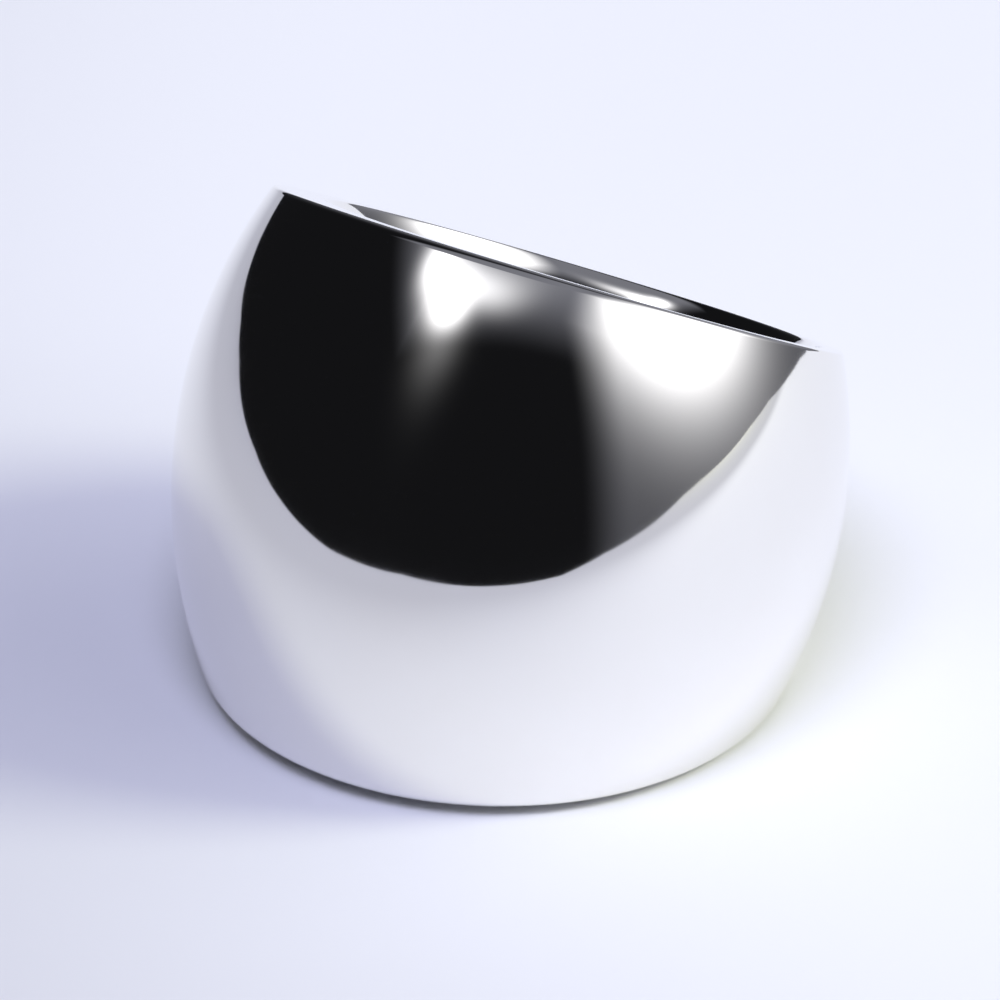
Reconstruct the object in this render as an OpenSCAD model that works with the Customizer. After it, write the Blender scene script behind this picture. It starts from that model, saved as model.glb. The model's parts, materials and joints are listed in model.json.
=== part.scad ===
// Dome ring: one cast silver band, wide and thick at the front, narrow and thin at the back.
// It lies on one of its two flat sides, with the front of the dome towards -Y.
// Both flats taper alike towards the back, so the finger hole leans back by the taper angle.
// The origin is where the axis of the finger hole meets the flat that it lies on.

/* [Finger hole] */
// Inner diameter of the band, a common size for a woman's finger
bore_d = 17.3; // [15.7:0.1:18.9]

/* [Dome] */
// Thickness of the metal at the peak of the dome
front_wall = 5.4; // [4.5:0.1:6.5]
// Thickness of the metal at the middle of the back
back_wall = 1.6; // [1.4:0.1:2.5]
// Radius of the curve that crosses the band from flat to flat
crown_r = 19.2; // [18:0.1:30]

/* [Flat sides] */
// Distance between the two flats, measured along the axis of the finger hole
band_w = 14.3; // [13:0.1:15]
// Angle of each flat to the middle plane of the band
taper = 15.75; // [12:0.25:16]

/* [Hidden] */
$fn = 180;
// Seen along the finger, the outside is a circle that is set forward of the finger hole.
dome_d = bore_d + front_wall + back_wall;
dome_shift = (front_wall - back_wall) / 2;
// Half the band's width at the peak of the dome, which no part of the finished band exceeds
front_half_w = band_w / 2 + (bore_d / 2 + front_wall) * tan(taper);
// The planes of the two flats meet on a line behind the ring, this far from the origin.
flats_meet_y = band_w / 2 / sin(taper);
wedge_len = flats_meet_y + dome_d;

// Puts a shape that is drawn round the finger's axis, centred on the band's middle plane,
// in the place that it has when the ring lies on its flat.
module on_finger_axis() {
    rotate([-taper, 0, 0])
        translate([0, 0, band_w / 2])
            children();
}

// Half the section of the blank: a crowned edge, cut off square above and below.
module crowned_section() {
    intersection() {
        translate([dome_d / 2 - crown_r, 0])
            circle(r = crown_r);
        translate([0, -front_half_w])
            square([dome_d / 2, 2 * front_half_w]);
    }
}

// The turned blank, shaped like a barrel, before the flats and the hole are cut.
module crowned_blank() {
    translate([0, -dome_shift, 0])
        rotate_extrude()
            crowned_section();
}

// The space between the two flats, a wedge that narrows towards the back.
module between_flats() {
    rotate([90, 0, 90])
        linear_extrude(height = 2 * dome_d, center = true)
            polygon([
                [flats_meet_y, 0],
                [flats_meet_y - wedge_len, 0],
                [flats_meet_y - wedge_len, wedge_len * tan(2 * taper)]
            ]);
}

module finger_hole() {
    cylinder(d = bore_d, h = 4 * front_half_w, center = true);
}

module dome_band() {
    color("silver")
        difference() {
            intersection() {
                on_finger_axis() crowned_blank();
                between_flats();
            }
            on_finger_axis() finger_hole();
        }
}

dome_band();
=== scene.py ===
import json
import math

import bpy
import numpy as np
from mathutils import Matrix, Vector


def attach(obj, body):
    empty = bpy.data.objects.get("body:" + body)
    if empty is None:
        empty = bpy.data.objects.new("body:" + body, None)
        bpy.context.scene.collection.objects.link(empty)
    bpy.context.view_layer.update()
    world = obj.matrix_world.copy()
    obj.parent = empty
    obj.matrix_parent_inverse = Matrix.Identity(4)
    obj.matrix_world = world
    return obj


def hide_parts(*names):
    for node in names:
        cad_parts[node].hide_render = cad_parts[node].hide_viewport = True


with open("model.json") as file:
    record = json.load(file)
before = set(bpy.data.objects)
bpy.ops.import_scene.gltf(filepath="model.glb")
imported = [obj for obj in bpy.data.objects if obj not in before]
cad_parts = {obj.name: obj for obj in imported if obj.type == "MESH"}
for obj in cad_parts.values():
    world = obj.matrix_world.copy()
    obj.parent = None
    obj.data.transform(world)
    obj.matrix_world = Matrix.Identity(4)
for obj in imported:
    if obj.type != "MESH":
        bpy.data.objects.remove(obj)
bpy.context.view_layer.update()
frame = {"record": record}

# Dome band
# The whole ring is one casting in sterling silver: a crowned band, thick in front and thin at the back,
# cut between two flats that draw together and bored through for the finger. It is fixed to nothing.
# A buffing wheel gave it a mirror finish and softened the edges of its flats and its bore.
MM = 0.001
# The bore's radius and lean come from the frame, and the other sizes are the solid's, in millimetres.
finger_hole = next(m for m in frame["record"]["mounts"] if m["name"] == "finger_hole")
bore_r = finger_hole["dims"]["r_mm"]
lean = math.atan2(finger_hole["axis"][1], finger_hole["axis"][2])
front_wall = 5.4
back_wall = 1.6
crown_r = 19.2
band_w = 14.3
half_w = band_w / 2

# What buffing took off, in millimetres. Turns are counted round the hole, from the front to the right.
# The crown lost a touch all over, and its edges are rounded most near the front.
crown_off = 0.01
edge_r = 0.12
worn_upper_r = 0.4
most_worn_upper = math.radians(15)
worn_lower_r = 0.85
most_worn_lower = math.radians(-8)
# The mouths of the bore are rounded a little, and the upper one widely at the front right.
mouth_r = 0.1
front_mouth_r = 2.1
most_flared = math.radians(35)
# A higher power keeps the wear of an edge or a mouth closer to its deepest place.
wear_power = 3
# Behind, both mouths are opened to a steep cone, about 1.2 mm deep. Its profile bends tightly at both ends
# and gently between, where its normal has turned cone_at of the way from the flat's to the bore's.
cone_end_r = 0.12
cone_r = 3.2
cone_at = 0.77
cone_spread = 0.09
# The cone is whole at turns up to 60 degrees from this one, and runs out at 143: these are their cosines.
most_coned = math.radians(198)
cone_whole = 0.5
cone_gone = -0.8

dome_r = bore_r + (front_wall + back_wall) / 2 - crown_off
dome_shift = (front_wall - back_wall) / 2
crown_centre = dome_r - crown_r
flat_slope = math.tan(lean)

# Steps round the ring, and along each stretch of its half section.
STEPS_AROUND = 360
CROWN_STEPS = 48
EDGE_STEPS = 12
FLAT_STEPS = 8
MOUTH_STEPS = 28
BORE_STEPS = 12


def along(start, end, steps):
    """Points from start to end in equal steps, for each turn round the ring."""
    share = np.linspace(0, 1, steps + 1)[None, :, None]
    return start[:, None, :] * (1 - share) + end[:, None, :] * share


def swing(start, end, steps):
    """Directions that turn evenly from start to end, for each turn round the ring."""
    angle = np.arccos(np.clip((start * end).sum(-1), -1, 1))[:, None, None]
    share = np.linspace(0, 1, steps + 1)[None, :, None]
    from_start = start[:, None, :] * np.sin((1 - share) * angle)
    from_end = end[:, None, :] * np.sin(share * angle)
    return (from_start + from_end) / np.sin(angle)


# In these coordinates the first axis is the ring's right, the second its front and the third the finger's,
# counted from the middle of the band.
turn = np.linspace(0, 2 * math.pi, STEPS_AROUND, endpoint=False)
outward = np.stack([np.sin(turn), np.cos(turn), np.zeros(STEPS_AROUND)], -1)
flat_normal = np.tile([0.0, -math.sin(lean), math.cos(lean)], (STEPS_AROUND, 1))


def crown_ball(radius):
    """The middle of a ball inside the crown and under the flat, and the crown's tilt where it touches."""
    track = crown_r - radius
    rise = half_w + dome_shift * flat_slope - radius / math.cos(lean)
    slope = np.cos(turn) * flat_slope
    square = 1 + slope**2
    half_linear = rise * slope - crown_centre
    constant = crown_centre**2 + rise**2 - track**2
    reach = (-half_linear + np.sqrt(half_linear**2 - square * constant)) / square
    height = rise + slope * reach
    middle = np.stack([reach * np.sin(turn), dome_shift + reach * np.cos(turn), height], -1)
    return middle, np.arcsin(height / track)


def half_section(crown_edge_r, mouth_end_r, mouth_cone_r):
    """Points and normals of the upper half of the section, from mid crown to mid bore, for each turn."""
    ball, crown_tilt = crown_ball(crown_edge_r)
    tilt = crown_tilt[:, None] * np.linspace(0, 1, CROWN_STEPS + 1)[None, :]
    sine, cosine = np.sin(turn)[:, None], np.cos(turn)[:, None]
    crown_normals = np.stack([np.cos(tilt) * sine, np.cos(tilt) * cosine, np.sin(tilt)], -1)
    reach = crown_centre + crown_r * np.cos(tilt)
    crown_points = np.stack([reach * sine, dome_shift + reach * cosine, crown_r * np.sin(tilt)], -1)
    edge_normals = swing(crown_normals[:, -1], flat_normal, EDGE_STEPS)
    edge_points = ball[:, None, :] + crown_edge_r[:, None, None] * edge_normals
    mouth_normals = swing(flat_normal, -outward, MOUTH_STEPS)
    # The mouth's curve is found from its normals and its radius, and then set to end on the bore's wall.
    share = (np.arange(MOUTH_STEPS) + 0.5) / MOUTH_STEPS
    cone = np.exp(-(((share - cone_at) / cone_spread) ** 2) / 2)
    radius = mouth_end_r[:, None] + (mouth_cone_r - mouth_end_r)[:, None] * cone[None, :]
    steps = np.cumsum(radius[:, :, None] * np.diff(mouth_normals, axis=1), 1)
    reach_in = steps[:, -1]
    mouth_end = outward * bore_r
    mouth_end[:, 2] = half_w + reach_in[:, 2] + (mouth_end[:, 1] - reach_in[:, 1]) * flat_slope
    mouth_start = (mouth_end - reach_in)[:, None, :]
    mouth_points = np.concatenate([mouth_start, mouth_start + steps], 1)
    flat_points = along(edge_points[:, -1], mouth_points[:, 0], FLAT_STEPS)
    bore_points = along(mouth_points[:, -1], outward * bore_r, BORE_STEPS)
    half_points = [
        crown_points,
        edge_points[:, 1:],
        flat_points[:, 1:],
        mouth_points[:, 1:],
        bore_points[:, 1:],
    ]
    half_normals = [
        crown_normals,
        edge_normals[:, 1:],
        np.repeat(flat_normal[:, None, :], FLAT_STEPS, 1),
        mouth_normals[:, 1:],
        np.repeat(-outward[:, None, :], BORE_STEPS, 1),
    ]
    return np.concatenate(half_points, 1), np.concatenate(half_normals, 1)


def wear(most_worn):
    """How worn each turn is, from 0 to 1 at the turn that is worn most."""
    return ((1 + np.cos(turn - most_worn)) / 2) ** wear_power


upper_edge_r = edge_r + (worn_upper_r - edge_r) * wear(most_worn_upper)
lower_edge_r = edge_r + (worn_lower_r - edge_r) * wear(most_worn_lower)
coned = np.clip((np.cos(turn - most_coned) - cone_gone) / (cone_whole - cone_gone), 0, 1)
coned = coned**2 * (3 - 2 * coned)
lower_end_r = mouth_r + (cone_end_r - mouth_r) * coned
lower_cone_r = mouth_r + (cone_r - mouth_r) * coned
flare = (front_mouth_r - mouth_r) * wear(most_flared)
upper_points, upper_normals = half_section(upper_edge_r, lower_end_r + flare, lower_cone_r + flare)
lower_points, lower_normals = half_section(lower_edge_r, lower_end_r, lower_cone_r)
mirror = np.array([1.0, 1.0, -1.0])
points = np.concatenate([upper_points, lower_points[:, -2:0:-1] * mirror], 1)
normals = np.concatenate([upper_normals, lower_normals[:, -2:0:-1] * mirror], 1)
section_steps = points.shape[1]


def to_frame(vectors, lift):
    """Turns band coordinates into the CAD frame, where the lower flat lies level."""
    right, front, axial = vectors[..., 0], vectors[..., 1], vectors[..., 2] + lift
    y = -front * math.cos(lean) + axial * math.sin(lean)
    z = front * math.sin(lean) + axial * math.cos(lean)
    return np.stack([right, y, z], -1).reshape(-1, 3)


ring_points = to_frame(points, half_w) * MM
ring_normals = to_frame(normals, 0.0)
ring_normals /= np.linalg.norm(ring_normals, axis=1, keepdims=True)
quads = []
for i in range(STEPS_AROUND):
    here = i * section_steps
    there = (i + 1) % STEPS_AROUND * section_steps
    for j in range(section_steps):
        k = (j + 1) % section_steps
        quads.append((here + j, there + j, there + k, here + k))
ring_mesh = bpy.data.meshes.new("polished_dome_band")
ring_mesh.from_pydata(ring_points.tolist(), [], quads)
ring_mesh.polygons.foreach_set("use_smooth", [True] * len(quads))
ring_mesh.normals_split_custom_set_from_vertices(ring_normals.tolist())
dome_band = bpy.data.objects.new("polished_dome_band", ring_mesh)
bpy.context.scene.collection.objects.link(dome_band)


def linear(hex_colour):
    """An sRGB hex colour as the linear colour that a shader takes."""
    shares = [int(hex_colour[i : i + 2], 16) / 255 for i in (1, 3, 5)]
    return tuple(c / 12.92 if c <= 0.04045 else ((c + 0.055) / 1.055) ** 2.4 for c in shares) + (1.0,)


def add_node(tree, kind, inputs=(), **settings):
    """Adds a node, with its settings, and for each input a value or the socket that feeds it."""
    new = tree.nodes.new(kind)
    for name, value in settings.items():
        setattr(new, name, value)
    for name, value in dict(inputs).items():
        if isinstance(value, bpy.types.NodeSocket):
            tree.links.new(value, new.inputs[name])
        else:
            new.inputs[name].default_value = value
    return new


# Sterling silver, cast and then buffed on a cloth wheel: almost a perfect mirror, faintly warm.
# It has hairlines round the band where the wheel ran, a slight swell left by hand buffing, and a thin haze.
silver = bpy.data.materials.new("buffed_sterling_silver")
silver.use_nodes = True
tree = silver.node_tree
tree.nodes.clear()
place = add_node(tree, "ShaderNodeTexCoord").outputs["Object"]
# Millimetres, turned so that the third axis is the finger hole's.
in_band = add_node(
    tree,
    "ShaderNodeMapping",
    {"Vector": place, "Rotation": (lean, 0, 0), "Scale": (1 / MM, 1 / MM, 1 / MM)},
).outputs["Vector"]

# Hairlines 0.06 mm apart and a few millimetres long: real ones are finer, and drawn coarse to show. Their
# depth is in metres.
hairline_gap = 0.06
hairline_turns = 2.5
hairline_depth = 4e-8
out_from_axis = add_node(
    tree, "ShaderNodeVectorMath", {0: in_band, 1: (1, 1, 0)}, operation="MULTIPLY"
).outputs["Vector"]
round_band = add_node(
    tree, "ShaderNodeVectorMath", {0: out_from_axis}, operation="NORMALIZE"
).outputs["Vector"]
across_band = add_node(
    tree, "ShaderNodeVectorMath", {0: in_band, 1: (0, 0, 1 / hairline_gap)}, operation="MULTIPLY"
).outputs["Vector"]
hairline_place = add_node(
    tree,
    "ShaderNodeVectorMath",
    {0: round_band, 1: (hairline_turns, hairline_turns, 0), 2: across_band},
    operation="MULTIPLY_ADD",
).outputs["Vector"]
hairlines = add_node(
    tree, "ShaderNodeTexNoise", {"Vector": hairline_place, "Scale": 1.0, "Detail": 3.0, "Roughness": 0.6}
).outputs["Fac"]

# The swell of hand buffing, in millimetres from crest to crest, and its depth in metres.
swell_gap = 3.5
swell_depth = 3e-6
swell = add_node(
    tree, "ShaderNodeTexNoise", {"Vector": in_band, "Scale": 1 / swell_gap, "Detail": 1.0, "Roughness": 0.4}
).outputs["Fac"]

# Haze in patches of about 5 mm, where the wheel's rouge left the polish a little duller.
haze_gap = 5.0
clear_roughness = 0.03
hazy_roughness = 0.06
haze = add_node(
    tree, "ShaderNodeTexNoise", {"Vector": in_band, "Scale": 1 / haze_gap, "Detail": 4.0, "Roughness": 0.6}
).outputs["Fac"]
haze_roughness = add_node(
    tree,
    "ShaderNodeMapRange",
    {"Value": haze, "From Min": 0.3, "From Max": 0.7, "To Min": clear_roughness, "To Max": hazy_roughness},
).outputs["Result"]
haze_colour = add_node(
    tree,
    "ShaderNodeMix",
    {0: haze, 6: linear("#F8F7F4"), 7: linear("#F4F2ED")},
    data_type="RGBA",
).outputs[2]
swell_bump = add_node(
    tree, "ShaderNodeBump", {"Height": swell, "Strength": 1.0, "Distance": swell_depth}
).outputs["Normal"]
hairline_bump = add_node(
    tree,
    "ShaderNodeBump",
    {"Height": hairlines, "Strength": 1.0, "Distance": hairline_depth, "Normal": swell_bump},
).outputs["Normal"]
silver_shader = add_node(
    tree,
    "ShaderNodeBsdfPrincipled",
    {"Base Color": haze_colour, "Metallic": 1.0, "Roughness": haze_roughness, "Normal": hairline_bump},
)
add_node(tree, "ShaderNodeOutputMaterial", {"Surface": silver_shader.outputs["BSDF"]})
ring_mesh.materials.append(silver)
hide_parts("dome_band")
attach(dome_band, "root")

# Paper sheet
# The ring lies on one sheet of matt white paper, cut by hand and fixed to nothing. The silver mirrors the
# sheet and the dark room past it, so its edge, 80 to 900 mm away, is the line between white and dark there.

# The sheet's outline, in millimetres from the part's origin.
paper_edge = [
    (-161, 76),
    (-165, 58),
    (-204, 40),
    (-320, 20),
    (-340, -30),
    (-240, -60),
    (-168, -88),
    (-90, -87),
    (-37, -82),
    (0, -93),
    (43, -73),
    (68, -61),
    (120, -64),
    (218, -49),
    (600, 0),
    (890, 105),
    (480, 264),
    (249, 200),
    (95, 112),
    (58, 89),
    (45, 78),
    (38, 73),
    (31, 92),
    (10, 97),
    (-20, 100),
    (-55, 106),
    (-95, 116),
    (-140, 116),
    (-178, 94),
]
# The sheet is drawn this many millimetres under the ring, so that a dark line shows between the two.
paper_drop = 0.28
paper_points = [(x * MM, y * MM, -paper_drop * MM) for x, y in paper_edge]
paper_mesh = bpy.data.meshes.new("paper_sheet")
paper_mesh.from_pydata(paper_points, [], [range(len(paper_points))])
paper_sheet = bpy.data.objects.new("paper_sheet", paper_mesh)
bpy.context.scene.collection.objects.link(paper_sheet)

# Matt wood-free paper, faintly blue: it scatters light evenly, with a fine tooth.
paper = bpy.data.materials.new("matt_white_paper")
paper.use_nodes = True
tree = paper.node_tree
tree.nodes.clear()
place = add_node(tree, "ShaderNodeTexCoord").outputs["Object"]
# The tooth of the paper, in millimetres from lump to lump and in depth.
tooth_gap = 0.4
tooth_depth = 0.02
tooth = add_node(
    tree,
    "ShaderNodeTexNoise",
    {"Vector": place, "Scale": 1 / (tooth_gap * MM), "Detail": 3.0, "Roughness": 0.6},
).outputs["Fac"]
tooth_bump = add_node(
    tree, "ShaderNodeBump", {"Height": tooth, "Strength": 0.15, "Distance": tooth_depth * MM}
).outputs["Normal"]
# The paper is drawn darker away from its best-lit place, behind the ring on the right, as if the light
# fell off between these two distances in millimetres.
best_lit = (36 * MM, 69 * MM, 0)
fall_start = 72
fall_end = 134
from_best_lit = add_node(
    tree, "ShaderNodeVectorMath", {0: place, 1: best_lit}, operation="DISTANCE"
).outputs["Value"]
shade = add_node(
    tree,
    "ShaderNodeMapRange",
    {"Value": from_best_lit, "From Min": fall_start * MM, "From Max": fall_end * MM},
    interpolation_type="SMOOTHSTEP",
).outputs["Result"]
paper_colour = add_node(
    tree,
    "ShaderNodeMix",
    {0: shade, 6: linear("#EDEFF3"), 7: linear("#C1C2C8")},
    data_type="RGBA",
).outputs[2]
paper_shader = add_node(
    tree,
    "ShaderNodeBsdfPrincipled",
    {"Base Color": paper_colour, "Roughness": 0.9, "Specular IOR Level": 0.2, "Normal": tooth_bump},
)
add_node(tree, "ShaderNodeOutputMaterial", {"Surface": paper_shader.outputs["BSDF"]})
paper_mesh.materials.append(paper)

# Pale floor
# A plain floor goes on past the sheet for every camera. It is the same matt paper, just below the sheet,
# and the silver doesn't show it, so that the sheet's own edge stays the one in the reflection.

# Half the floor's side in metres, and how far under the ring it lies in millimetres.
floor_half = 3.0
floor_drop = 0.33
floor_corners = [
    (x * floor_half, y * floor_half, -floor_drop * MM) for x, y in ((-1, -1), (1, -1), (1, 1), (-1, 1))
]
floor_mesh = bpy.data.meshes.new("pale_floor")
floor_mesh.from_pydata(floor_corners, [], [(0, 1, 2, 3)])
pale_floor = bpy.data.objects.new("pale_floor", floor_mesh)
bpy.context.scene.collection.objects.link(pale_floor)
floor_mesh.materials.append(paper)
pale_floor.visible_glossy = False
pale_floor.visible_diffuse = False
pale_floor.visible_shadow = False

# Studio light
# The room is dark, with a low white ceiling and one white wall on the right. A lamp is bounced off each,
# so all the light is soft, and both glows and the dark walls show in the silver.
world = bpy.data.worlds.new("studio_room")
bpy.context.scene.world = world
world.use_nodes = True
tree = world.node_tree
tree.nodes.clear()
direction = add_node(tree, "ShaderNodeTexCoord").outputs["Generated"]


def towards(azimuth, elevation):
    """The direction at an azimuth, from the front towards the right, and an elevation, in degrees."""
    a, e = math.radians(azimuth), math.radians(elevation)
    return Vector((math.sin(a) * math.cos(e), -math.cos(a) * math.cos(e), math.sin(e)))


def glow(azimuth, elevation, spread, brightness, tall=1.0, onto=0.0):
    """Light that falls off round a hot spot, with the light that is there already.

    spread is in radians, tall stretches the glow upwards, and onto is the light that is there already.
    """
    shape = Vector((1, 1, 1 / tall))
    spot = towards(azimuth, elevation) * shape
    seen = add_node(
        tree, "ShaderNodeVectorMath", {0: direction, 1: shape}, operation="MULTIPLY"
    ).outputs["Vector"]
    away = add_node(tree, "ShaderNodeVectorMath", {0: seen, 1: spot}, operation="DISTANCE").outputs["Value"]
    squared = add_node(tree, "ShaderNodeMath", {0: away, 1: 2.0}, operation="POWER").outputs["Value"]
    fall = add_node(
        tree, "ShaderNodeMath", {0: squared, 1: -1 / (2 * spread**2)}, operation="MULTIPLY"
    ).outputs["Value"]
    lit = add_node(tree, "ShaderNodeMath", {0: fall}, operation="EXPONENT").outputs["Value"]
    return add_node(
        tree, "ShaderNodeMath", {0: lit, 1: brightness, 2: onto}, operation="MULTIPLY_ADD"
    ).outputs["Value"]


def nearest(surface, others, softness):
    """1 where a surface of the room is the one that is seen, 0 where another is in front of it."""
    other = others[0]
    for value in others[1:]:
        other = add_node(tree, "ShaderNodeMath", {0: other, 1: value}, operation="MAXIMUM").outputs["Value"]
    lead = add_node(tree, "ShaderNodeMath", {0: surface, 1: other}, operation="SUBTRACT").outputs["Value"]
    return add_node(
        tree,
        "ShaderNodeMapRange",
        {"Value": lead, "From Min": -softness / 2, "From Max": softness / 2},
        interpolation_type="SMOOTHSTEP",
    ).outputs["Result"]


# The room is turned this many degrees to the ring, with a fifth wall across its left back corner. Each
# wall's distance is a share of the ceiling's height above the ring.
room_turn = 21
left_wall_away = 0.74
front_wall_away = 0.76
right_wall_away = 0.72
back_wall_away = 1.6
left_back_turn = -146
left_back_wall_away = 0.38
# The value that goes with a direction is one over the way to that surface, so the largest is the surface
# that is seen.
near = {}
for name, azimuth, away in (
    ("left", room_turn - 90, left_wall_away),
    ("front", room_turn, front_wall_away),
    ("right", room_turn + 90, right_wall_away),
    ("back", room_turn + 180, back_wall_away),
    ("left_back", room_turn + left_back_turn, left_back_wall_away),
):
    near[name] = add_node(
        tree, "ShaderNodeVectorMath", {0: direction, 1: towards(azimuth, 0) / away}, operation="DOT_PRODUCT"
    ).outputs["Value"]
near["ceiling"] = add_node(
    tree, "ShaderNodeVectorMath", {0: direction, 1: (0, 0, 1)}, operation="DOT_PRODUCT"
).outputs["Value"]
on_ceiling = nearest(
    near["ceiling"],
    [near["left"], near["front"], near["right"], near["back"], near["left_back"]],
    softness=0.53,
)
on_right_wall = nearest(near["right"], [near["front"], near["ceiling"], near["back"]], softness=0.6)

# The lamp on the right wall gives one broad glow, held to an even white in its middle.
wall_glow_most = 1.6
wall_glow = glow(azimuth=121, elevation=46.7, spread=0.289, brightness=9.7)
wall_glow = add_node(
    tree, "ShaderNodeMath", {0: wall_glow, 1: wall_glow_most}, operation="MINIMUM"
).outputs["Value"]
# The one on the ceiling gives two hot spots, with a flat band to their right.
ceiling_glow = glow(azimuth=-27, elevation=53, spread=0.07, brightness=2.6)
ceiling_glow = glow(azimuth=-10, elevation=48.5, spread=0.076, brightness=5.2, onto=ceiling_glow)
ceiling_glow = glow(azimuth=6, elevation=55.1, spread=0.16, brightness=1.2, tall=0.216, onto=ceiling_glow)
# It also runs down the front wall under the second hot spot.
front_wall_glow = glow(azimuth=-8.5, elevation=45.7, spread=0.0814, brightness=0.25, tall=6.67)
# What the lamps spill lights the ceiling and the right wall evenly, and the other walls hardly, apart from
# a faint patch low at the back.
ceiling_light = 0.194
right_wall_light = 0.0775
dark_wall_light = 0.007
back_glow = glow(azimuth=-172, elevation=12, spread=0.3, brightness=0.26, onto=dark_wall_light)


def lit_room(everywhere, ceiling, right_wall):
    """Light that shows everywhere, with more where the ceiling or the right wall is what is seen."""
    light = everywhere
    for surface, more in ((on_ceiling, ceiling), (on_right_wall, right_wall)):
        light = add_node(
            tree, "ShaderNodeMath", {0: surface, 1: more, 2: light}, operation="MULTIPLY_ADD"
        ).outputs["Value"]
    return light


# The glows are nearly white, and the spilt light is bluer.
glow_tint = (0.98, 0.98, 1.02, 1.0)
spill_tint = (0.93, 0.95, 1.12, 1.0)
glows = add_node(
    tree,
    "ShaderNodeBackground",
    {"Color": glow_tint, "Strength": lit_room(front_wall_glow, ceiling_glow, wall_glow)},
)
spill = add_node(
    tree,
    "ShaderNodeBackground",
    {"Color": spill_tint, "Strength": lit_room(back_glow, ceiling_light, right_wall_light)},
)
room = add_node(
    tree, "ShaderNodeAddShader", {0: glows.outputs["Background"], 1: spill.outputs["Background"]}
)
# A camera that looks past the floor sees a plain pale backdrop in place of the room.
backdrop = add_node(tree, "ShaderNodeBackground", {"Color": linear("#EBEEF8"), "Strength": 1.0})
seen_directly = add_node(tree, "ShaderNodeLightPath").outputs["Is Camera Ray"]
room_or_backdrop = add_node(
    tree,
    "ShaderNodeMixShader",
    {0: seen_directly, 1: room.outputs["Shader"], 2: backdrop.outputs["Background"]},
)
add_node(tree, "ShaderNodeOutputWorld", {"Surface": room_or_backdrop.outputs["Shader"]})


def soft_lamp(name, azimuth, elevation, away, width, power, colour):
    """A round lamp aimed at the ring from away metres. width is the angle it fills, power is in watts."""
    data = bpy.data.lights.new(name, "AREA")
    data.shape = "DISK"
    data.size = 2 * away * math.tan(math.radians(width / 2))
    data.energy = power
    data.color = colour
    lamp = bpy.data.objects.new(name, data)
    lamp.location = towards(azimuth, elevation) * away
    lamp.rotation_mode = "QUATERNION"
    lamp.rotation_quaternion = towards(azimuth, elevation).to_track_quat("Z", "Y")
    lamp.visible_glossy = False
    bpy.context.scene.collection.objects.link(lamp)


# Two soft lamps light the paper as the bright wall and ceiling would. The silver doesn't show them,
# because it shows the wall's and the ceiling's glows already.
soft_lamp("wall_lamp", azimuth=118, elevation=36, away=0.9, width=20, power=4.05, colour=(0.99, 1.0, 0.72))
soft_lamp("ceiling_lamp", azimuth=18, elevation=68, away=0.9, width=30, power=3.75, colour=(0.98, 0.99, 1.4))

# Camera
# It looks down on the ring's front right from 400 mm away, through a long lens. The target, in millimetres
# from the part's origin, is the middle of its view.
camera_azimuth = 32.887
camera_elevation = 30.397
camera_distance = 400.0
camera_target = Vector((0.864, -1.905, 7.337))
sensor_w = 36.0
lens_length = 402.0
camera_data = bpy.data.cameras.new("camera")
camera_data.sensor_width = sensor_w
camera_data.lens = lens_length
camera_data.clip_start = 0.01
camera = bpy.data.objects.new("camera", camera_data)
bpy.context.scene.collection.objects.link(camera)
back = towards(camera_azimuth, camera_elevation)
camera.location = (camera_target + back * camera_distance) * MM
camera.rotation_mode = "QUATERNION"
camera.rotation_quaternion = (-back).to_track_quat("-Z", "Y")
bpy.context.scene.camera = camera
# Colours are shown as the materials give them, with no film look.
bpy.context.scene.view_settings.view_transform = "Standard"
bpy.context.scene.view_settings.look = "None"
